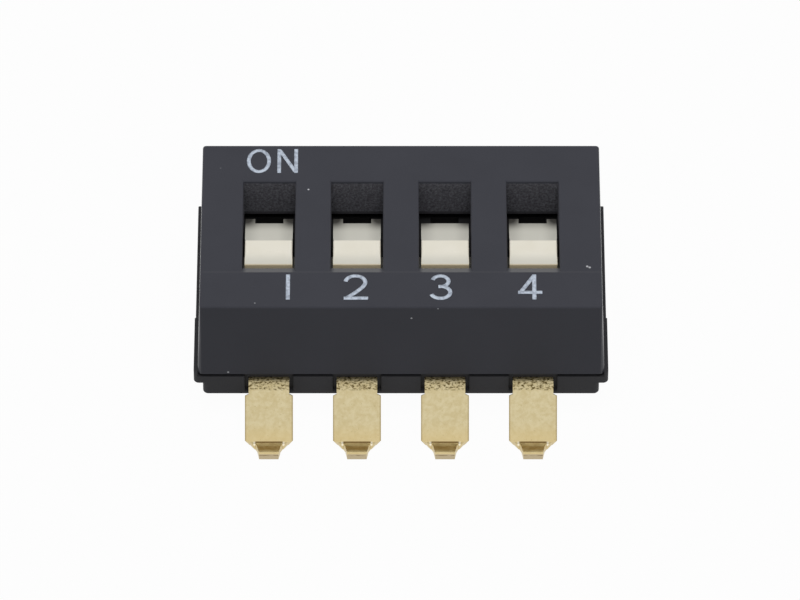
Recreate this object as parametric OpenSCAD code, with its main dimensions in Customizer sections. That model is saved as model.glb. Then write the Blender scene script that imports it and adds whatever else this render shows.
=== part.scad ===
// Four-position surface-mount slide switch with gull-wing leads.
// Origin: centre of the underside of the lead feet. +X runs along the row of sliders from
// position 1 to position 4, +Y points to the ON side and +Z is up. Millimetres and degrees.
// The sliders are drawn in the OFF place, which is their front stop.

/* [Row] */
// Distance between neighbouring positions
pitch = 2.54; // [2.3:0.01:3.5]
// Slider travel from OFF to ON
travel = 1.0; // [0.8:0.05:1.5]
// Gap under the base, above the board
standoff = 0.95; // [0.5:0.05:1.6]

/* [Cover] */
// Height of the cover above the base
cover_h = 2.70; // [2.3:0.05:3.6]
// Draft of the front and back walls
side_draft = 2.5; // [0.5:0.5:5]
// Draft of the end walls
end_draft = 2.0; // [0.5:0.5:5]
// Top face beyond the middle of an end slot
end_margin = 1.96; // [1.7:0.02:3]
// Top face in front of a slider that is off, and behind one that is on
side_margin = 1.815; // [1.5:0.005:2.5]
// Thickness of the top wall
top_wall = 1.36; // [0.8:0.02:1.5]
// Thickness of the front and back walls at the rim
side_wall = 0.62; // [0.55:0.01:0.8]
// Thickness of the end walls at the rim
end_wall = 0.72; // [0.5:0.01:0.9]
// Rounding of the top edges
top_edge_r = 0.05; // [0.04:0.01:0.08]
// Rounding of the upright corners at the top
top_corner_r = 0.10; // [0.09:0.01:0.4]
// Rounding of the upright corners at the rim
cover_corner_r = 0.16; // [0.08:0.01:0.4]

/* [Slots] */
// Width of a slot
slot_w = 1.50; // [1.2:0.02:1.7]
// Room in front of a slider that is off
front_gap = 0.23; // [0.15:0.01:0.5]
// Room behind the stem of a slider that is on
back_gap = 0.35; // [0.2:0.01:0.6]
// Rounding around the mouth of a slot
slot_mouth_r = 0.06; // [0.02:0.01:0.12]
// Length of the bevelled lip at the front of a slot
lip_l = 0.20; // [0.05:0.01:0.25]
// Depth of the lip's bevel
lip_drop = 0.06; // [0.03:0.01:0.1]

/* [Base] */
// Height of the base wall that shows below the cover
band_h = 0.82; // [0.7:0.02:1.4]
// Plastic under the terminals
floor_t = 0.32; // [0.2:0.01:0.36]
// Height of the shadow groove under the cover's rim
seam_h = 0.12; // [0.05:0.01:0.2]
// Depth of the shadow groove
seam_depth = 0.15; // [0.05:0.01:0.3]
// End flange beyond the cover's rim, at its front
flange_out = 0.116; // [0.06:0.002:0.4]
// Step by which the end flange is narrower behind its front
flange_step = 0.03; // [0.01:0.01:0.05]
// Thickness of the end flanges
flange_t = 0.37; // [0.2:0.01:0.6]
// Lower part of the base inside the cover's rim at each end
tier_in = 0.145; // [0.05:0.005:0.4]
// Rounding of the upright corners of the lower part
tier_corner_r = 0.16; // [0.08:0.01:0.4]
// Rounding of the upright front corners of the end flanges
flange_corner_r = 0.15; // [0.04:0.01:0.2]
// Depth of the notches that the leads leave through
notch_depth = 0.12; // [0.08:0.01:0.4]
// Plastic below a notch
notch_lip = 0.08; // [0.04:0.01:0.15]
// Room beside a lead in its notch
notch_gap = 0.12; // [0.05:0.005:0.2]
// Width of the grooves in the raised middle
groove_w = 0.82; // [0.6:0.02:1.0]

/* [Sliders] */
// Length of the part of the slider that shows
stem_l = 1.82; // [1.5:0.02:2.4]
// Length of the flat crown
crown_l = 0.86; // [0.5:0.02:1.2]
// Length of the front of the crown that bows down
bow_l = 0.25; // [0.1:0.01:0.3]
// Drop of the bowed front
bow_drop = 0.10; // [0.05:0.01:0.15]
// Slope behind the crown
ramp_angle = 17; // [5:1:30]
// Crown below the cover's top face
crown_drop = 0.05; // [0.02:0.01:0.3]
// Rounding of the crown's edges
crown_r = 0.05; // [0.03:0.01:0.08]
// Width of the gap between the two ears at the slider's back
ear_gap = 0.82; // [0.6:0.01:1.0]
// Width of the wings under the cover
wing_w = 1.95; // [1.8:0.01:2.2]
// Length of the wings, from the front of the stem
wing_l = 1.47; // [1.0:0.01:1.5]
// Thickness of the wings
wing_t = 0.23; // [0.15:0.01:0.4]

/* [Terminals] */
// Thickness of the lead strip
lead_t = 0.25; // [0.15:0.01:0.3]
// Reach of a lead beyond the base
lead_reach = 1.71; // [1.6:0.01:2.4]
// Slope of the leg below the level
leg_angle = 46; // [42:1:70]
// Width of the strip inside the base
neck_w = 1.17; // [1.0:0.01:1.28]
// Width of the plate outside the base
plate_w = 1.38; // [1.3:0.01:1.6]
// Width of the foot where it leaves the lower bend
ankle_w = 0.79; // [0.74:0.01:1.2]
// Width of the foot where its taper eases
waist_w = 0.67; // [0.62:0.01:0.72]
// Width of the cut end of the foot
tip_w = 0.56; // [0.4:0.01:0.6]
// Gap between the front and the back pad
pad_gap = 0.45; // [0.3:0.01:0.6]

/* [Contact springs] */
// Thickness of the spring strip
spring_t = 0.10; // [0.06:0.01:0.15]
// Width of the spring strip
spring_w = 0.60; // [0.4:0.01:0.7]
// Contact points from the middle of the spring
contact_half = 0.60; // [0.5:0.01:0.75]
// Height of the keel above the pads
spring_h = 0.50; // [0.35:0.01:0.7]

/* [Hidden] */
positions = 4;
position_x = [for (i = [0:positions - 1]) (i - (positions - 1) / 2) * pitch];
last_position = positions - 1;

// Clearances between pieces that slide or seat
side_clear = 0.055;
wing_clear = 0.03;
keel_clear = 0.03;
keel_end_gap = 0.05;
fit_clear = 0.05;
pocket_clear = 0.02;
contact_clear = 0.03;

// Levels, from the board up
floor_z = standoff;
pad_z = floor_z + floor_t + lead_t;
rim_z = floor_z + band_h;
top_z = rim_z + cover_h;
ceiling_z = top_z - top_wall;
wing_z = ceiling_z - wing_clear - wing_t;
platform_z = wing_z - wing_clear;
keel_z = pad_z + spring_h;
crown_z = top_z - crown_drop;

// Plan sizes, worked out from the row and the travel
swept_l = stem_l + travel;
slot_front = -swept_l / 2 - front_gap;
slot_back = swept_l / 2 + back_gap;
top_l = last_position * pitch + 2 * end_margin;
top_w = swept_l + 2 * side_margin;
rim_l = top_l + 2 * cover_h * tan(end_draft);
rim_w = top_w + 2 * cover_h * tan(side_draft);
cavity_l = rim_l - 2 * end_wall;
cavity_w = rim_w - 2 * side_wall;
base_l = rim_l + 2 * flange_out;
tier_l = rim_l - 2 * tier_in;
base_w = rim_w;
base_face = base_w / 2;
flange_step_share = -0.17;
flange_back_r = 0.03;
groove_end = 0.48;
groove_l = swept_l + 2 * groove_end;
rim_land = 0.05;

// Slider
off_y = -travel / 2;
stem_w = slot_w - 2 * side_clear;
stem_draft = 0.01;
bow_r = 0.9;
ear_clear = 0.05;
ear_l = back_gap - ear_clear;
ear_r = 0.12;
// Positions whose slider has no ears
earless = [3];
keel_w = groove_w - 2 * keel_clear;
keel_l = groove_l - travel - 2 * keel_end_gap;
pocket_depth = 0.05;
ramp_drop = (stem_l + ear_l - crown_l) * tan(ramp_angle);

// Terminal
knee_r = 0.35;
ankle_r = 0.12;
tip_r = 0.08;
knee_setback = 0.10;
neck_out = 0.31;
shoulder_l = 0.05;
waist_out = 0.16;
knee_y = base_face - knee_setback + knee_r * tan(leg_angle / 2);
ankle_y = knee_y + (pad_z - lead_t) / tan(leg_angle);
end_y = base_face + lead_reach;
bend_shift = lead_t * tan(leg_angle / 2);
bend_l = ankle_r * tan(leg_angle / 2);
bend_over = 0.05;
slice_t = 0.004;
shoulder_up = (ankle_y - base_face - neck_out) / cos(leg_angle);
front_inner_y = contact_half - pad_gap / 2;
back_inner_y = contact_half + pad_gap / 2;

// Contact spring
seat_half = 0.26;
toe_l = 0.16;
toe_lift = 0.10;

// Cuts run past the faces that they open by this much
overrun = 0.5;
arc_steps = 8;

mould_black = "#3b3c40";
slider_white = "#e4dfd0";
lead_gold = "#d3bd83";
spring_gold = "#c79f4c";

function unit(v) = v / norm(v);

// Points along the rounding of one corner of an outline
function corner_arc(before, at, after, r) =
    r == 0 ? [at] :
    let (u = unit(before - at),
         w = unit(after - at),
         half = acos(u * w) / 2,
         centre = at + unit(u + w) * r / sin(half),
         start = at + u * r / tan(half) - centre,
         end = at + w * r / tan(half) - centre,
         from = atan2(start.y, start.x),
         turn = (atan2(end.y, end.x) - from + 540) % 360 - 180)
    [for (i = [0:arc_steps])
        centre + r * [cos(from + turn * i / arc_steps), sin(from + turn * i / arc_steps)]];

// Outline with each corner rounded to its own radius
function rounded(points, radii) =
    let (n = len(points))
    [for (i = [0:n - 1])
        each corner_arc(points[(i + n - 1) % n], points[i], points[(i + 1) % n], radii[i])];

// Outline of a rectangle about the origin, its corners rounded alike
function plan_outline(l, w, r) =
    rounded([[-l / 2, -w / 2], [l / 2, -w / 2], [l / 2, w / 2], [-l / 2, w / 2]], [r, r, r, r]);

// Plate of a given outline from one level to another
module plate(l, w, r, low, high)
    translate([0, 0, low])
        linear_extrude(high - low)
            polygon(plan_outline(l, w, r));

// Outline in Y and Z, as thick along X as given
module across_x(thickness)
    rotate([90, 0, 90])
        linear_extrude(thickness, center = true)
            children();

// Outline in X and Z, as thick along Y as given
module across_y(thickness)
    rotate([90, 0, 0])
        linear_extrude(thickness, center = true)
            children();

module block(l, w, low, high)
    translate([-l / 2, -w / 2, low])
        cube([l, w, high - low]);

// Outline mirrored about its upright axis, from its right half
function both_sides(right) =
    concat(right, [for (k = [len(right) - 1:-1:0]) [-right[k].x, right[k].y]]);

// One side of a slot's mouth, which flares up to the top face on a round
function mouth_side(half) =
    concat([for (k = [0:arc_steps])
               [half + slot_mouth_r * (1 - cos(90 * k / arc_steps)),
                top_z - slot_mouth_r * (1 - sin(90 * k / arc_steps))]],
           [[half + slot_mouth_r, top_z + overrun]]);

// Slot cut through the top wall, its mouth rounded but for a flat bevelled lip at the front
module slot_cut()
    intersection() {
        across_y(swept_l + 2 * (side_margin + overrun))
            polygon(concat(both_sides(mouth_side(slot_w / 2)),
                           [[-slot_w / 2, ceiling_z - overrun], [slot_w / 2, ceiling_z - overrun]]));
        across_x(slot_w + 2 * overrun)
            polygon(concat(mouth_side(slot_back),
                           [[slot_front - lip_l, top_z + overrun], [slot_front - lip_l, top_z],
                            [slot_front, top_z - lip_drop], [slot_front, ceiling_z - overrun],
                            [slot_back, ceiling_z - overrun]]));
    }

// Upright corner of the cover's top, with its edge rounded
module top_corner()
    rotate_extrude($fn = 32)
        polygon(rounded([[0, -top_edge_r], [top_corner_r, -top_edge_r], [top_corner_r, 0], [0, 0]],
                        [0, 0, top_edge_r, 0]));

// Drafted outside of the cover, its edges softened
module cover_outside()
    hull()
        for (sx = [-1, 1], sy = [-1, 1]) {
            translate([sx * (top_l / 2 - top_corner_r), sy * (top_w / 2 - top_corner_r), top_z])
                top_corner();
            translate([sx * (rim_l / 2 - cover_corner_r), sy * (rim_w / 2 - cover_corner_r), rim_z])
                cylinder(r = cover_corner_r, h = rim_land, $fn = 32);
        }

module cover()
    color(mould_black)
        difference() {
            cover_outside();
            block(cavity_l, cavity_w, rim_z - overrun, ceiling_z);
            for (x = position_x)
                translate([x, 0, 0]) slot_cut();
        }

// Notch in the front or back wall of the base where a lead comes out
module lead_notch(side)
    translate([0, side * (base_face + overrun / 2 - notch_depth / 2), 0])
        block(neck_w + 2 * notch_gap, notch_depth + overrun, floor_z + notch_lip, rim_z + overrun);

// Outline of the end flanges, which step in behind their front
function flange_outline() =
    let (right = [[base_l / 2, -base_face], [base_l / 2, base_w * flange_step_share],
                  [base_l / 2 - flange_step, base_w * flange_step_share],
                  [base_l / 2 - flange_step, base_face]])
    rounded(both_sides(right),
            [flange_corner_r, 0, 0, flange_back_r, flange_back_r, 0, 0, flange_corner_r]);

// Floor plate and end flanges, with the shadow groove along the front and back of the rim
module base_plate()
    difference() {
        union() {
            plate(tier_l, base_w, tier_corner_r, floor_z, rim_z);
            translate([0, 0, rim_z - flange_t])
                linear_extrude(flange_t)
                    polygon(flange_outline());
        }
        for (side = [-1, 1])
            translate([0, side * (base_face + overrun / 2 - seam_depth / 2), 0])
                block(rim_l, seam_depth + overrun, rim_z - seam_h, rim_z + overrun);
    }

module base()
    color(mould_black)
        difference() {
            union() {
                base_plate();
                block(cavity_l - 2 * fit_clear, cavity_w - 2 * fit_clear, floor_z + floor_t, platform_z);
            }
            for (x = position_x)
                translate([x, 0, 0]) {
                    block(groove_w, groove_l, pad_z, platform_z + overrun);
                    for (side = [-1, 1]) lead_notch(side);
                    rotate([0, 0, 180]) lead_strip(-front_inner_y);
                    lead_strip(back_inner_y);
                }
        }

// Side outline of a lead, outwards along +Y, with its inner end at a given Y
function lead_profile(inner_y) =
    rounded([[inner_y, pad_z], [knee_y, pad_z], [ankle_y, lead_t], [end_y, lead_t],
             [end_y, 0], [ankle_y - bend_shift, 0], [knee_y - bend_shift, pad_z - lead_t],
             [inner_y, pad_z - lead_t]],
            [0, knee_r, ankle_r, tip_r, 0, ankle_r + lead_t, knee_r - lead_t, 0]);

// Lead as it is before its plate and foot are shaped, which the base is moulded round
module lead_strip(inner_y)
    across_x(neck_w)
        polygon(lead_profile(inner_y));

// Thin slice of the lower bend, square to the strip, at a given slope of the strip
module bend_slice(slope, w)
    translate([0, ankle_y + bend_l, lead_t + ankle_r])
        rotate([-slope, 0, 0])
            block(w, slice_t, -ankle_r - lead_t - bend_over, bend_over - ankle_r);

// Lower bend of a lead, along which the strip tapers from the plate to the foot
module bend_taper() {
    middle_w = (plate_w + ankle_w) / 2;
    hull() {
        bend_slice(leg_angle, plate_w);
        bend_slice(leg_angle / 2, middle_w);
    }
    hull() {
        bend_slice(leg_angle / 2, middle_w);
        bend_slice(0, ankle_w);
    }
}

// Gull-wing lead
module lead(inner_y)
    intersection() {
        across_x(plate_w)
            polygon(lead_profile(inner_y));
        union() {
            // Strip through the base, the bend and the top of the leg
            translate([0, 0, -overrun])
                linear_extrude(pad_z + 2 * overrun)
                    polygon(both_sides([[neck_w / 2, inner_y],
                                        [neck_w / 2, base_face + neck_out + shoulder_l]]));
            // Plate on the leg, measured up the slope from where it meets the foot
            translate([0, ankle_y, lead_t])
                rotate([-leg_angle, 0, 0])
                    linear_extrude(2 * overrun, center = true)
                        polygon(both_sides([[plate_w / 2, -bend_l],
                                            [plate_w / 2, shoulder_l - shoulder_up],
                                            [neck_w / 2, -shoulder_up]]));
            bend_taper();
            // Foot
            translate([0, 0, -overrun])
                linear_extrude(lead_t + 2 * overrun)
                    polygon(both_sides([[ankle_w / 2, ankle_y + bend_l],
                                        [waist_w / 2, ankle_y + waist_out], [tip_w / 2, end_y]]));
        }
    }

module front_lead() rotate([0, 0, 180]) lead(-front_inner_y);

module back_lead() lead(back_inner_y);

module front_terminal(i) color(lead_gold) translate([position_x[i], 0, 0]) front_lead();

module back_terminal(i) color(lead_gold) translate([position_x[i], 0, 0]) back_lead();

// Part of the slider that stands in the slot: bowed crown in front, ramp with two ears behind
module stem(eared) {
    front = -stem_l / 2;
    back = stem_l / 2 + ear_l;
    difference() {
        intersection() {
            across_x(stem_w)
                polygon(rounded([[front, wing_z], [back, wing_z], [back, crown_z - ramp_drop],
                                 [front + crown_l, crown_z], [front + bow_l, crown_z],
                                 [front, crown_z - bow_drop]],
                                [0, 0, ear_r, 0, bow_r, crown_r]));
            across_y(2 * back)
                polygon(rounded([[-stem_w / 2, wing_z], [stem_w / 2, wing_z],
                                 [stem_w / 2 - stem_draft, crown_z], [stem_draft - stem_w / 2, crown_z]],
                                [0, 0, crown_r, crown_r]));
        }
        translate([0, -front + overrun, 0])
            block(eared ? ear_gap : stem_w + overrun, 2 * overrun, wing_z - overrun, crown_z);
    }
}

module slider(i)
    color(slider_white)
        translate([position_x[i], off_y, 0])
            difference() {
                union() {
                    stem(len(search(i + 1, earless)) == 0);
                    translate([0, (wing_l - stem_l) / 2, 0])
                        block(wing_w, wing_l, wing_z, wing_z + wing_t);
                    block(keel_w, keel_l, keel_z, wing_z + wing_t);
                }
                block(spring_w + 2 * pocket_clear, 2 * (seat_half + pocket_clear),
                      keel_z - overrun, keel_z + pocket_depth);
            }

// Bowed strip, seated in the keel, with a rounded contact near each end
module contact_spring(i) {
    seat_z = keel_z + pocket_depth - spring_t;
    touch_z = pad_z + contact_clear;
    under = [[-contact_half - toe_l, touch_z + toe_lift], [-contact_half, touch_z], [-seat_half, seat_z],
             [seat_half, seat_z], [contact_half, touch_z], [contact_half + toe_l, touch_z + toe_lift]];
    over = [for (k = [len(under) - 1:-1:0]) under[k] + [0, spring_t]];
    bends = [0, spring_t, spring_t, spring_t, spring_t, 0];
    color(spring_gold)
        translate([position_x[i], off_y, 0])
            across_x(spring_w)
                polygon(rounded(concat(under, over), concat(bends, bends)));
}

cover();
base();
for (i = [0:last_position]) {
    slider(i);
    contact_spring(i);
    front_terminal(i);
    back_terminal(i);
}
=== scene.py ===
"""Looks of a four-position slide switch for a circuit board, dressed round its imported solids."""
import math

import bpy
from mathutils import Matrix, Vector


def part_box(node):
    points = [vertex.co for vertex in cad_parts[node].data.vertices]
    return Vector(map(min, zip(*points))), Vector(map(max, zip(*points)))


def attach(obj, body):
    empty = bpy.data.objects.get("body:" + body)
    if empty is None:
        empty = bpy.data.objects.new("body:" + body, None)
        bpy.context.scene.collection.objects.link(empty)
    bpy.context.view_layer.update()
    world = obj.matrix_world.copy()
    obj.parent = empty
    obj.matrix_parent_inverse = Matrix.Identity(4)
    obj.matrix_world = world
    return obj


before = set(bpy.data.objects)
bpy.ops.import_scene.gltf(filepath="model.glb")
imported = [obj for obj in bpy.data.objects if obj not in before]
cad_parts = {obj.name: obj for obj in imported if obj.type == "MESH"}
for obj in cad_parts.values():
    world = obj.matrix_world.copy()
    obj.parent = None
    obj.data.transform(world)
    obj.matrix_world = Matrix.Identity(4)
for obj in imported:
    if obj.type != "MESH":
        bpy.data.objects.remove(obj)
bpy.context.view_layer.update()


# Base
# The floor of the switch is one black thermoplastic moulding with the leads moulded in.
# Its tool is blasted, so it is matt with a fine grain; its raised middle inside the cover is painted
# darker as shade.

MM = 0.001
POSITIONS = (1, 2, 3, 4)


class Channel:
    """One output of a material's nodes. Arithmetic on channels adds Math nodes."""

    def __init__(self, tree, socket):
        self.tree = tree
        self.socket = socket

    def node(self, kind, settings=None, sockets=None, output=0):
        """Adds a node, with its settings first and then the values or links of its sockets."""
        made = self.tree.nodes.new("ShaderNode" + kind)
        for name, value in (settings or {}).items():
            setattr(made, name, value)
        for name, value in (sockets or {}).items():
            if isinstance(value, Channel):
                self.tree.links.new(value.socket, made.inputs[name])
            else:
                made.inputs[name].default_value = value
        return Channel(self.tree, made.outputs[output])

    def math(self, operation, *values):
        return self.node("Math", {"operation": operation}, dict(enumerate(values)))

    def __add__(self, other):
        return self.math("ADD", self, other)

    def __radd__(self, other):
        return self.math("ADD", other, self)

    def __sub__(self, other):
        return self.math("SUBTRACT", self, other)

    def __rsub__(self, other):
        return self.math("SUBTRACT", other, self)

    def __mul__(self, other):
        return self.math("MULTIPLY", self, other)

    def __rmul__(self, other):
        return self.math("MULTIPLY", other, self)

    def __abs__(self):
        return self.math("ABSOLUTE", self)

    def step(self, low, high):
        """Rises smoothly from 0 at low to 1 at high."""
        return self.node("MapRange", {"interpolation_type": "SMOOTHSTEP"},
                         {0: self, 1: low, 2: high, 3: 0.0, 4: 1.0})

    def between(self, start, full, fall, end):
        """1 from full to fall, and 0 before start and after end."""
        return self.step(start, full) * (1 - self.step(fall, end))

    def around(self, middle, full, end):
        """1 within the first distance of a middle value, and 0 beyond the second."""
        return 1 - abs(self - middle).step(full, end)

    def noise(self, size, detail=2.0, roughness=0.5):
        """Soft noise over a place, with spots of about this size in metres."""
        return self.node("TexNoise", None, {"Vector": self, "Scale": 1 / size, "Detail": detail,
                                            "Roughness": roughness})

    def stretched(self, x, y, z):
        """The same place, drawn out along its axes."""
        return self.node("Mapping", None, {"Vector": self, "Scale": (x, y, z)})

    def near(self, point, radius):
        """1 within a radius of a point, in metres, and 0 away from it."""
        far = self.node("VectorMath", {"operation": "DISTANCE"}, {0: self, 1: point}, output=1)
        return 1 - far.step(0.5 * radius, radius)

    def mix(self, first, second):
        """Colour that goes from the first to the second as this channel rises."""
        return self.node("Mix", {"data_type": "RGBA"}, {0: self, 6: first, 7: second}, output=2)


def rgb(red, green, blue):
    """Linear colour of a display colour given from 0 to 255."""
    shares = [value / 255 for value in (red, green, blue)]
    return [s / 12.92 if s <= 0.04045 else ((s + 0.055) / 1.055) ** 2.4 for s in shares] + [1.0]


def new_finish(name):
    """A fresh material: itself, its surface node and the place on the piece, in metres."""
    material = bpy.data.materials.new(name)
    material.use_nodes = True
    tree = material.node_tree
    surface = tree.nodes["Principled BSDF"]
    coordinates = tree.nodes.new("ShaderNodeTexCoord")
    return material, surface, Channel(tree, coordinates.outputs["Object"])


def split(place):
    """The three coordinates of a place."""
    apart = place.node("SeparateXYZ", None, {0: place})
    outputs = apart.socket.node.outputs
    return [Channel(place.tree, outputs[axis]) for axis in range(3)]


def feed(surface, **channels):
    """Links channels, or sets plain values, on the sockets of a surface."""
    for name, value in channels.items():
        socket = surface.inputs[name.replace("_", " ")]
        if isinstance(value, Channel):
            value.tree.links.new(value.socket, socket)
        else:
            socket.default_value = value


def relief(height, depth):
    """Normal of a surface that rises and falls by this depth in metres."""
    return height.node("Bump", None, {"Strength": 1.0, "Distance": depth, "Height": height})


def dress(node, material):
    """Gives a solid its finish."""
    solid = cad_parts[node]
    if not solid.material_slots:
        solid.data.materials.append(material)
    for slot in solid.material_slots:
        slot.material = material


def moulded_black(name, dark, light, grain, grain_depth):
    """Matt black plastic: cloudy colour, fine grain and a little sheen."""
    material, surface, place = new_finish(name)
    cloud = place.noise(MOULD_CLOUD, detail=4.0)
    fine = place.noise(grain, detail=3.0, roughness=0.6)
    colour = (0.6 * cloud + 0.4 * fine).mix(dark, light)
    feed(surface, Base_Color=colour, Roughness=0.5 + 0.16 * fine, Specular_IOR_Level=0.2,
         Normal=relief(fine, grain_depth))
    return material, surface, place, colour, fine


MOULD_CLOUD = 1.6 * MM
BASE_DARK = rgb(42, 42, 44)
BASE_LIGHT = rgb(54, 54, 57)
BASE_RECESS_SHADE = rgb(34, 34, 35)
BASE_GRAIN = 0.045 * MM
BASE_GRAIN_DEPTH = 0.004 * MM
RECESS_SHADE_FADE = 0.1 * MM

rim_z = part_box("cover")[0].z
base_finish, surface, place, colour, fine = moulded_black(
    "base_black", BASE_DARK, BASE_LIGHT, BASE_GRAIN, BASE_GRAIN_DEPTH)
# Painted shade: the base's raised middle above the cover's rim is darkened, as it lies in shade inside
# the cover.
recess_shade = split(place)[2].step(rim_z, rim_z + RECESS_SHADE_FADE)
feed(surface, Base_Color=recess_shade.mix(colour, BASE_RECESS_SHADE))
dress("base", base_finish)


# Leads
# Eight strips of copper alloy, stamped, plated with thin pale gold and bent to gull wings.
# The bend at the base is stretched and grainy, the foot's top carries a painted reflection of the dark
# housing, and the foot's end is cut after plating.

LEAD_GOLD = rgb(215, 202, 163)
LEAD_GOLD_DEEP = rgb(203, 187, 143)
LEAD_WARM = rgb(214, 192, 138)
LEAD_STAIN = rgb(150, 128, 76)
LEAD_CREASE_SHADE = rgb(120, 96, 56)
LEAD_BEND_DARK = rgb(96, 80, 40)
LEAD_FOOT_REFLECTION = rgb(250, 228, 168)
LEAD_FOOT_STREAK_AND_REFLECTION = rgb(206, 172, 104)
LEAD_GLINT = rgb(255, 246, 222)
LEAD_CUT = rgb(190, 174, 143)
LEAD_BURR = rgb(122, 98, 62)

# Levels above the board, then distances from the lead's middle line and in from its cut end
BEND_LEVELS = (1.31 * MM, 1.36 * MM)
WARM_LEVELS = (0.25 * MM, 0.75 * MM)
FOOT_LEVELS = (0.22 * MM, 0.24 * MM, 0.252 * MM, 0.256 * MM)
CREASE_SHADE_LEVELS = (0.251 * MM, 0.254 * MM, 0.264 * MM, 0.276 * MM)
GLINT_LEVELS = (0.13 * MM, 0.18 * MM)
BURR_LEVELS = (0.165 * MM, 0.008 * MM, 0.024 * MM)
PLATE_EDGE = (0.64 * MM, 0.69 * MM)
FOOT_EDGE = (0.36 * MM, 0.46 * MM)
CREASE_SHADE_EDGE = (0.36 * MM, 0.44 * MM)
GLINT_ACROSS = (0.42 * MM, 0.01 * MM, 0.045 * MM)
GLINT_IN = (0.40 * MM, 0.02 * MM, 0.06 * MM)
FOOT_REFLECTION_BAND_IN = (0.09 * MM, 0.17 * MM, 0.26 * MM, 0.33 * MM)
FOOT_TIP_IN = (0.05 * MM, 0.09 * MM)
CUT_IN = (0.006 * MM, 0.012 * MM)

# Sizes of the mottling, and the part of its range that shows
LEAD_CLOUD = 0.16 * MM
LEAD_CLOUD_RANGE = (0.3, 0.7)
LEAD_GRAIN = 0.05 * MM
LEAD_GRAIN_DEPTH = 0.006 * MM
LEAD_SPECK = 0.045 * MM
LEAD_SPECK_RANGE = (0.68, 0.76)
LEAD_CRAZE = 0.05 * MM
LEAD_CRAZE_RANGE = (0.44, 0.66)
FOOT_STREAK = 0.12 * MM
FOOT_STREAK_RANGE = (0.35, 0.65)

slider_boxes = {number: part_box(f"slider_{number}") for number in POSITIONS}
row_x = {number: (low.x + high.x) / 2 for number, (low, high) in slider_boxes.items()}
pitch = row_x[2] - row_x[1]
lead_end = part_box("back_terminal_1")[1].y


def from_position(x):
    """Distance along the row from the middle of the nearest of the four positions."""
    return abs(abs(abs(x) - pitch) - pitch / 2)


lead_finish, surface, place = new_finish("lead_gold")
x, y, z = split(place)
from_lead = from_position(x)
from_end = lead_end - abs(y)
streaks = place.stretched(0.6, 1.0, 1.0)
cloud = place.noise(LEAD_CLOUD, detail=5.0, roughness=0.65)
grain = place.noise(LEAD_GRAIN, detail=3.0, roughness=0.6)
speck = place.noise(LEAD_SPECK, detail=1.0).step(*LEAD_SPECK_RANGE)
crazed = streaks.noise(LEAD_CRAZE, detail=3.0, roughness=0.6).step(*LEAD_CRAZE_RANGE)
foot_streak = streaks.noise(FOOT_STREAK, detail=3.0).step(*FOOT_STREAK_RANGE)

bend = z.step(*BEND_LEVELS)
edge = from_lead.step(*PLATE_EDGE)
low_plate = 1 - z.step(*WARM_LEVELS)
foot = z.between(*FOOT_LEVELS) * from_end.step(*FOOT_TIP_IN) * (1 - from_lead.step(*FOOT_EDGE))
# Painted reflection: a darker band across the middle of the foot's top.
middle = from_end.between(*FOOT_REFLECTION_BAND_IN)
# Painted shade: a dark line in the concave bend where the leg meets the foot.
crease_shade = z.between(*CREASE_SHADE_LEVELS) * (1 - from_lead.step(*CREASE_SHADE_EDGE))
glint = from_lead.around(*GLINT_ACROSS) * from_end.around(*GLINT_IN) * z.step(*GLINT_LEVELS)
cut = 1 - from_end.step(*CUT_IN)
burr = foot_streak * z.around(*BURR_LEVELS)

gold = cloud.step(*LEAD_CLOUD_RANGE).mix(LEAD_GOLD, LEAD_GOLD_DEEP)
gold = (0.6 * low_plate).mix(gold, LEAD_WARM)
# Painted reflection: the foot's top gets its own brighter gold with a darker middle band; its streaks are
# its own.
gold = foot.mix(gold, (0.35 * foot_streak + 0.65 * middle).mix(LEAD_FOOT_REFLECTION, LEAD_FOOT_STREAK_AND_REFLECTION))
gold = (0.9 * glint).mix(gold, LEAD_GLINT)
stained = crease_shade.mix((0.3 * speck + 0.8 * edge).mix(gold, LEAD_STAIN), LEAD_CREASE_SHADE)
bent = (bend * crazed).mix(stained, LEAD_BEND_DARK)
cut_end = (0.8 * burr).mix(LEAD_CUT, LEAD_BURR)
feed(surface, Base_Color=cut.mix(bent, cut_end), Metallic=1.0,
     Roughness=0.3 + 0.12 * cloud + 0.15 * bend + 0.12 * foot,
     Normal=relief(grain * (0.3 + 1.5 * bend), LEAD_GRAIN_DEPTH))
for side in ("front", "back"):
    for number in POSITIONS:
        dress(f"{side}_terminal_{number}", lead_finish)


# Contact springs
# A bowed strip of gilt spring bronze under each slider bridges the pads when it is on.
# Wiping over the pads leaves it brighter at its two contact points.

SPRING_GOLD = rgb(222, 186, 112)
SPRING_BRIGHT = rgb(240, 214, 152)
SPRING_WIPED_H = 0.12 * MM
SPRING_BRUSH = 0.015 * MM
SPRING_BRUSH_DEPTH = 0.002 * MM

spring_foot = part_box("contact_spring_1")[0].z
spring_finish, surface, place = new_finish("spring_gold")
wiped = 1 - split(place)[2].step(spring_foot, spring_foot + SPRING_WIPED_H)
brushed = place.stretched(1.0, 0.08, 0.08).noise(SPRING_BRUSH, detail=2.0)
feed(surface, Base_Color=wiped.mix(SPRING_GOLD, SPRING_BRIGHT), Metallic=1.0,
     Roughness=0.22 + 0.16 * brushed, Normal=relief(brushed, SPRING_BRUSH_DEPTH))
for number in POSITIONS:
    dress(f"contact_spring_{number}", spring_finish)


# Sliders
# Each actuator is moulded in off-white nylon, satin on the crown where a pen tip pushes it.
# Its crown's front bow and its ramp are painted greyer as shade, the ramp darker still towards the ears
# and sides, and its front and flanks are painted a warmer tan as shade.

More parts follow.
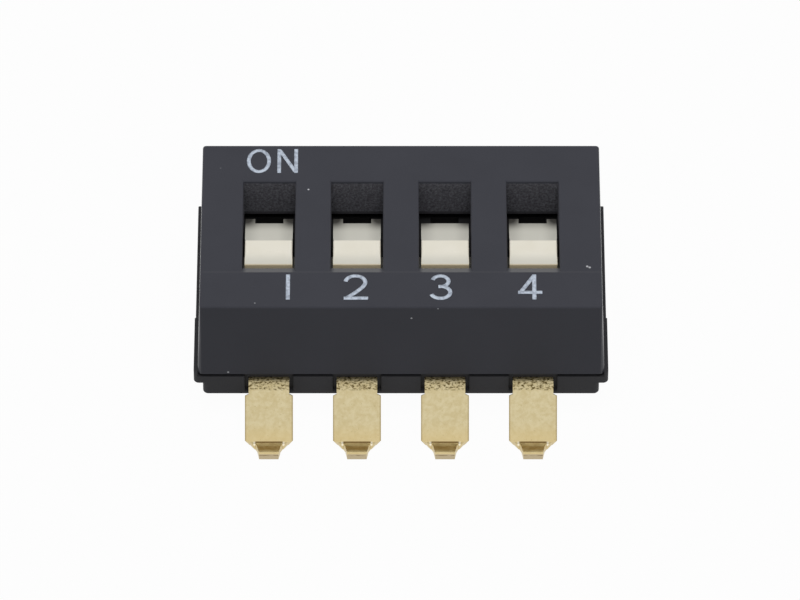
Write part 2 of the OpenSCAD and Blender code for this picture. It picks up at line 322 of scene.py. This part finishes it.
SLIDER_WARM = rgb(221, 216, 200)
SLIDER_PALE = rgb(233, 229, 217)
SLIDER_SIDE_SHADE = rgb(228, 210, 172)
SLIDER_SLOPE_SHADE = rgb(194, 193, 184)
SLIDER_SHADE = rgb(46, 44, 40)
SLIDER_CLOUD = 0.7 * MM
SLIDER_GRAIN = 0.05 * MM
SLIDER_GRAIN_DEPTH = 0.002 * MM

# Places from front to back, then distances from the slider's middle line
FRONT_FACE_Y = (-1.41 * MM, -1.38 * MM)
CROWN_BOW_Y = (-1.36 * MM, -0.96 * MM)
RAMP_START_Y = (-0.56 * MM, -0.53 * MM)
RAMP_SHADE_Y = (-0.10 * MM, 0.62 * MM)
FLANK_EDGE = (0.665 * MM, 0.70 * MM)
RAMP_SIDE = (0.20 * MM, 0.65 * MM)

slider_finish, surface, place = new_finish("slider_white")
x, y = split(place)[:2]
from_middle = from_position(x)
front = 1 - y.step(*FRONT_FACE_Y)
flank = from_middle.step(*FLANK_EDGE)
bow = 1 - y.step(*CROWN_BOW_Y)
ramp = y.step(*RAMP_START_Y)
side = from_middle.step(*RAMP_SIDE)
# Painted shade: the front face and the flanks below the ramp are tinted a warmer tan, as they lie in
# shade in the slot.
wall_shade = x.math("MAXIMUM", front, flank * (1 - ramp))
cloud = place.noise(SLIDER_CLOUD, detail=4.0)
fine = place.noise(SLIDER_GRAIN, detail=2.0)
# Painted shade: the crown's front bow and the ramp are greyer, and the ramp darkens towards the ears and
# its sides.
ivory = (0.65 * bow + 0.8 * ramp).mix(cloud.mix(SLIDER_WARM, SLIDER_PALE), SLIDER_SLOPE_SHADE)
shade = y.step(*RAMP_SHADE_Y) * (0.55 + 0.37 * side) + 0.2 * ramp * side
ivory = shade.mix(ivory, SLIDER_SHADE)
feed(surface, Base_Color=(0.85 * wall_shade).mix(ivory, SLIDER_SIDE_SHADE), Roughness=0.42 + 0.14 * fine,
     Specular_IOR_Level=0.3, Normal=relief(fine, SLIDER_GRAIN_DEPTH))
for number in POSITIONS:
    dress(f"slider_{number}", slider_finish)


# Cover
# The top is a drafted black shell pressed over the base, with a slot for each slider.
# It is matt outside and smoother at its ends, and its slots keep the grain of spark-eroded cores.

COVER_DARK = rgb(48, 49, 55)
COVER_LIGHT = rgb(61, 62, 69)
COVER_GRAIN = 0.04 * MM
COVER_GRAIN_DEPTH = 0.003 * MM
WALL_SHADE_BELOW_TOP = (0.1 * MM, 0.04 * MM)
END_WALL_X = (5.75 * MM, 5.77 * MM)
END_GLOSS_LEVELS = (2.2 * MM, 3.8 * MM)

SLOT_DARK = rgb(66, 66, 70)
SLOT_LIGHT = rgb(122, 122, 129)
SLOT_GRAIN = 0.07 * MM
SLOT_GRAIN_RANGE = (0.28, 0.8)
SLOT_GRAIN_DEPTH = 0.02 * MM
SLOT_HALF_W = 0.75 * MM
SLOT_FRONT = -1.64 * MM
SLOT_BACK = 1.76 * MM
SLOT_MARGIN = 0.02 * MM
SLOT_BEVEL = 0.06 * MM
SLOT_FOOT_SHADE_BELOW_TOP = (1.265 * MM, 1.25 * MM)

LIP_HIGHLIGHT = rgb(96, 96, 98)
LIP_L = 0.20 * MM
LIP_HALF_W = 0.62 * MM
MOULD_LINE_W = 0.05 * MM

SPECK_LIGHT = rgb(190, 192, 196)
# Each speck of dust: place along and across the row, depth below the top and radius, in mm, then strength
SPECKS = (
    (-2.68, 1.44, 0.0, 0.035, 1.0),
    (5.35, -1.62, 0.0, 0.045, 0.8),
    (5.42, -1.66, 0.0, 0.045, 0.8),
    (-4.18, -3.06, 0.0, 0.025, 0.6),
    (-5.24, 2.3, 0.0, 0.03, 0.12),
    (0.30, -3.244, 0.44, 0.035, 0.7),
    (1.06, -3.23, 0.06, 0.03, 0.5),
    (-4.98, -3.33, 2.62, 0.04, 0.8),
)

cover_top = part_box("cover")[1].z
cover_finish, surface, place, colour, fine = moulded_black(
    "cover_black", COVER_DARK, COVER_LIGHT, COVER_GRAIN, COVER_GRAIN_DEPTH)
x, y, z = split(place)
from_slot = from_position(x)
in_row = 1 - from_slot.step(SLOT_HALF_W, SLOT_HALF_W + SLOT_MARGIN)
in_length = y.between(SLOT_FRONT - SLOT_MARGIN, SLOT_FRONT, SLOT_BACK, SLOT_BACK + SLOT_MARGIN)
at_mouth = z.step(cover_top - 2 * SLOT_BEVEL, cover_top - SLOT_BEVEL)
in_slot = in_row * in_length * (1 - at_mouth)
coarse = place.noise(SLOT_GRAIN, detail=4.0, roughness=0.7)
eroded = coarse.step(*SLOT_GRAIN_RANGE).mix(SLOT_DARK, SLOT_LIGHT)
# Painted shade: the lowest band of each slot's wall, well below the top, is kept dark.
above_slot_foot_shade = z.step(*(cover_top - below for below in SLOT_FOOT_SHADE_BELOW_TOP))
eroded = above_slot_foot_shade.mix(SLOT_DARK, eroded)
# Painted highlight: each slot's bevelled front lip, and faintly the mould line in front of it, are
# lightened.
along_lip = y.around(SLOT_FRONT - LIP_L / 2, LIP_L / 2, LIP_L / 2 + SLOT_MARGIN)
lip_highlight = (1 - from_slot.step(LIP_HALF_W, SLOT_HALF_W)) * along_lip * at_mouth
mould_line_highlight = y.around(SLOT_FRONT - LIP_L, 0.0, MOULD_LINE_W)
wall_shade = 1 - z.step(*(cover_top - below for below in WALL_SHADE_BELOW_TOP))
polished = abs(x).step(*END_WALL_X) * (0.35 + 0.65 * z.step(*END_GLOSS_LEVELS))
dust = 0.0
for along, across, below, radius, strength in SPECKS:
    spot = (along * MM, across * MM, cover_top - below * MM)
    dust = strength * place.near(spot, radius * MM) + dust
# Painted shade: the walls below the top face are darkened half-way to COVER_DARK.
skin = (0.5 * wall_shade).mix((0.12 * mould_line_highlight).mix(colour, LIP_HIGHLIGHT), COVER_DARK)
skin = lip_highlight.mix(in_slot.mix(skin, eroded), LIP_HIGHLIGHT)
fine_share = COVER_GRAIN_DEPTH / SLOT_GRAIN_DEPTH
grain = fine * (1 - in_slot) * fine_share + coarse * in_slot
feed(surface, Base_Color=dust.mix(skin, SPECK_LIGHT), Coat_Weight=polished, Coat_Roughness=0.08,
     Normal=relief(grain, SLOT_GRAIN_DEPTH))
dress("cover", cover_finish)


# Legend
# ON and the position numbers are printed on the top face with a pale blue-white ink.
# Each stroke is one pass of the pad, thin and a little blotchy.

INK_THICKNESS = 0.008 * MM
INK_STEP = 0.0015 * MM
INK_BLOTCH = 0.11 * MM
INK_BLOTCH_RANGE = (0.3, 0.62)
INK_BLOTCH_DEPTH = 0.002 * MM
CLOSED_GAP = 1e-6
LETTER_STROKE = 0.109 * MM
NUMERAL_STROKE = 0.118 * MM
LETTER_H = 0.96 * MM
LETTER_FOOT_Y = 2.1 * MM
NUMERAL_H = 0.99 * MM
NUMERAL_FOOT_Y = -2.93 * MM
INK_PALE = rgb(196, 206, 220)
INK_THIN = rgb(152, 160, 174)


def curve_points(centre, radii, start, stop, count):
    """Points along an ellipse, from one angle to another in degrees."""
    angles = [math.radians(start + (stop - start) * i / (count - 1)) for i in range(count)]
    return [(centre[0] + radii[0] * math.cos(angle), centre[1] + radii[1] * math.sin(angle))
            for angle in angles]


def letter_o():
    return [curve_points((0.5, 0.5), (0.5, 0.5), 90, -270, 33)]


def letter_n():
    return [[(0, -0.06), (0, 1.06)], [(0.04, 1.0), (0.96, 0.0)], [(1, -0.06), (1, 1.06)]]


def numeral_1():
    return [[(0.5, -0.06), (0.5, 1.06)]]


def numeral_2():
    bowl = curve_points((0.47, 0.71), (0.49, 0.29), 172, -22, 17)
    neck = [(0.80, 0.47), (0.55, 0.30), (0.28, 0.14), (0.02, 0.0)]
    return [bowl + neck, [(-0.1, 0.0), (1.1, 0.0)]]


def numeral_3():
    upper = curve_points((0.45, 0.76), (0.43, 0.24), 165, -80, 17)
    lower = curve_points((0.45, 0.26), (0.52, 0.27), 80, -160, 19)
    return [upper, lower, [(0.34, 0.52), (0.56, 0.52)]]


def numeral_4():
    slope = [(0.70, 1.02), (0.02, 0.24)]
    bar = [(-0.08, 0.26), (1.08, 0.26)]
    stem = [(0.70, -0.06), (0.70, 1.06)]
    return [slope, bar, stem]


def stroke_tree():
    """Sweeps a flat ribbon of ink along each stroke."""
    tree = bpy.data.node_groups.new("ink_strokes", "GeometryNodeTree")
    tree.interface.new_socket("Geometry", in_out="INPUT", socket_type="NodeSocketGeometry")
    sockets = {}
    for name in ("Stroke width", "Ink thickness"):
        made = tree.interface.new_socket(name, in_out="INPUT", socket_type="NodeSocketFloat")
        sockets[name] = made.identifier
    made = tree.interface.new_socket("Ink", in_out="INPUT", socket_type="NodeSocketMaterial")
    sockets["Ink"] = made.identifier
    tree.interface.new_socket("Geometry", in_out="OUTPUT", socket_type="NodeSocketGeometry")
    given = tree.nodes.new("NodeGroupInput")
    ribbon = tree.nodes.new("GeometryNodeCurvePrimitiveQuadrilateral")
    sweep = tree.nodes.new("GeometryNodeCurveToMesh")
    sweep.inputs["Fill Caps"].default_value = True
    realize = tree.nodes.new("GeometryNodeRealizeInstances")
    paint = tree.nodes.new("GeometryNodeSetMaterial")
    result = tree.nodes.new("NodeGroupOutput")
    link = tree.links.new
    link(given.outputs["Stroke width"], ribbon.inputs["Width"])
    link(given.outputs["Ink thickness"], ribbon.inputs["Height"])
    link(given.outputs["Geometry"], sweep.inputs["Curve"])
    link(ribbon.outputs["Curve"], sweep.inputs["Profile Curve"])
    link(sweep.outputs["Mesh"], realize.inputs["Geometry"])
    link(realize.outputs["Geometry"], paint.inputs["Geometry"])
    link(given.outputs["Ink"], paint.inputs["Material"])
    link(paint.outputs["Geometry"], result.inputs["Geometry"])
    return tree, sockets


ink_finish, surface, place = new_finish("legend_ink")
blotch = place.noise(INK_BLOTCH, detail=3.0, roughness=0.6)
feed(surface, Base_Color=blotch.step(*INK_BLOTCH_RANGE).mix(INK_THIN, INK_PALE), Roughness=0.62,
     Specular_IOR_Level=0.3, Normal=relief(blotch, INK_BLOTCH_DEPTH))
ink_tree, ink_sockets = stroke_tree()


def plain_mesh(piece, name):
    """Turns an object's evaluated shape into a plain mesh object of its own."""
    graph = bpy.context.evaluated_depsgraph_get()
    mesh = bpy.data.meshes.new_from_object(piece.evaluated_get(graph))
    mesh.name = name
    made = bpy.data.objects.new(name, mesh)
    bpy.context.scene.collection.objects.link(made)
    bpy.data.objects.remove(piece)
    return made


def print_glyph(name, strokes, middle_x, foot_y, width, height, stroke_w):
    """Prints one letter or numeral on the top face."""
    path = bpy.data.curves.new(name, "CURVE")
    path.dimensions = "3D"
    inner_w = width - stroke_w
    inner_h = height - stroke_w
    for layer, stroke in enumerate(strokes):
        spline = path.splines.new("POLY")
        middle_z = cover_top + INK_THICKNESS / 2 + layer * INK_STEP
        closed = math.dist(stroke[0], stroke[-1]) < CLOSED_GAP
        corners = stroke[:-1] if closed else stroke
        spline.points.add(len(corners) - 1)
        spline.use_cyclic_u = closed
        for point, (u, v) in zip(spline.points, corners):
            across = middle_x + (u - 0.5) * inner_w
            up = foot_y + stroke_w / 2 + v * inner_h
            point.co = (across, up, middle_z, 1)
    draft = bpy.data.objects.new(name + "_draft", path)
    bpy.context.scene.collection.objects.link(draft)
    strokes_on = draft.modifiers.new("ink", "NODES")
    strokes_on.node_group = ink_tree
    strokes_on[ink_sockets["Stroke width"]] = stroke_w
    strokes_on[ink_sockets["Ink thickness"]] = INK_THICKNESS
    strokes_on[ink_sockets["Ink"]] = ink_finish
    glyph = plain_mesh(draft, name)
    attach(glyph, "housing")


# Each glyph: name, strokes, middle along the row, width
LETTERS = (
    ("legend_o", letter_o(), -4.128 * MM, 0.70 * MM),
    ("legend_n", letter_n(), -3.293 * MM, 0.60 * MM),
)
NUMERALS = (
    ("legend_1", numeral_1(), -3.24 * MM, 0.70 * MM),
    ("legend_2", numeral_2(), -1.29 * MM, 0.70 * MM),
    ("legend_3", numeral_3(), 1.16 * MM, 0.655 * MM),
    ("legend_4", numeral_4(), 3.70 * MM, 0.715 * MM),
)
for name, strokes, middle_x, width in LETTERS:
    print_glyph(name, strokes, middle_x, LETTER_FOOT_Y, width, LETTER_H, LETTER_STROKE)
for name, strokes, middle_x, width in NUMERALS:
    print_glyph(name, strokes, middle_x, NUMERAL_FOOT_Y, width, NUMERAL_H, NUMERAL_STROKE)


# Bench, light and camera
# The switch stands on a plain white bench under one wide soft lamp, seen from in front and above.
# Bench and sky show white to the camera and in the metal, and light the switch at a plain level.

PHOTO_W = 800
VIEW_ELEVATION = math.radians(47)
VIEW_DISTANCE = 232 * MM
PIXELS_PER_MM = 34.95
SENSOR_W = 36.0
CENTRE_X = -0.028 * MM
CENTRE_Y = -2.94 * MM
SKY_FILL = 0.35
BENCH_SIZE = 0.6
BENCH_WHITE = (0.45, 0.45, 0.45, 1.0)
BENCH_GLOW = 0.97
LAMP_PLACE = (0.0, -0.083, 0.288)
LAMP_SIZE = 0.16
LAMP_POWER = 0.60


def seen_white(tree):
    """1 for camera, mirror and glass rays, and 0 for the rays that light a surface."""
    rays = tree.nodes.new("ShaderNodeLightPath")
    camera, glossy, clear = (Channel(tree, rays.outputs[name]) for name in (
        "Is Camera Ray", "Is Glossy Ray", "Is Transmission Ray"))
    return camera.math("MAXIMUM", camera, camera.math("MAXIMUM", glossy, clear))


world = bpy.data.worlds.new("soft_room")
bpy.context.scene.world = world
world.use_nodes = True
sky = world.node_tree.nodes["Background"]
sky.inputs["Color"].default_value = (1.0, 1.0, 1.0, 1.0)
white = seen_white(world.node_tree)
world.node_tree.links.new((SKY_FILL + (1 - SKY_FILL) * white).socket, sky.inputs["Strength"])

bench_mesh = bpy.data.meshes.new("bench")
half = BENCH_SIZE / 2
corners = [(-half, -half, 0), (half, -half, 0), (half, half, 0), (-half, half, 0)]
bench_mesh.from_pydata(corners, [], [(0, 1, 2, 3)])
bench = bpy.data.objects.new("bench", bench_mesh)
bpy.context.scene.collection.objects.link(bench)
bench_finish = bpy.data.materials.new("bench_white")
bench_finish.use_nodes = True
tree = bench_finish.node_tree
surface = tree.nodes["Principled BSDF"]
feed(surface, Base_Color=BENCH_WHITE, Roughness=0.9, Specular_IOR_Level=0.0)
glow = tree.nodes.new("ShaderNodeEmission")
glow.inputs["Strength"].default_value = 1.0
blend = tree.nodes.new("ShaderNodeMixShader")
tree.links.new((BENCH_GLOW * seen_white(tree)).socket, blend.inputs[0])
tree.links.new(surface.outputs[0], blend.inputs[1])
tree.links.new(glow.outputs[0], blend.inputs[2])
tree.links.new(blend.outputs[0], tree.nodes["Material Output"].inputs["Surface"])
bench_mesh.materials.append(bench_finish)

light = bpy.data.lights.new("key_lamp", "AREA")
light.size = LAMP_SIZE
light.energy = LAMP_POWER
lamp = bpy.data.objects.new("key_lamp", light)
lamp.location = LAMP_PLACE
lamp.rotation_euler = (-Vector(LAMP_PLACE)).to_track_quat("-Z", "Y").to_euler()
lamp.visible_glossy = False
bpy.context.scene.collection.objects.link(lamp)

view = bpy.data.cameras.new("photo_view")
view.sensor_width = SENSOR_W
view.lens = PIXELS_PER_MM / MM * VIEW_DISTANCE * SENSOR_W / PHOTO_W
view.clip_start = 0.01
view.clip_end = 10.0
camera = bpy.data.objects.new("photo_view", view)
aim = Vector((CENTRE_X, CENTRE_Y, cover_top))
towards_viewer = Vector((0, -math.cos(VIEW_ELEVATION), math.sin(VIEW_ELEVATION)))
camera.location = aim + VIEW_DISTANCE * towards_viewer
camera.rotation_euler = (math.pi / 2 - VIEW_ELEVATION, 0, 0)
bpy.context.scene.collection.objects.link(camera)
bpy.context.scene.camera = camera
bpy.context.scene.view_settings.view_transform = "Standard"
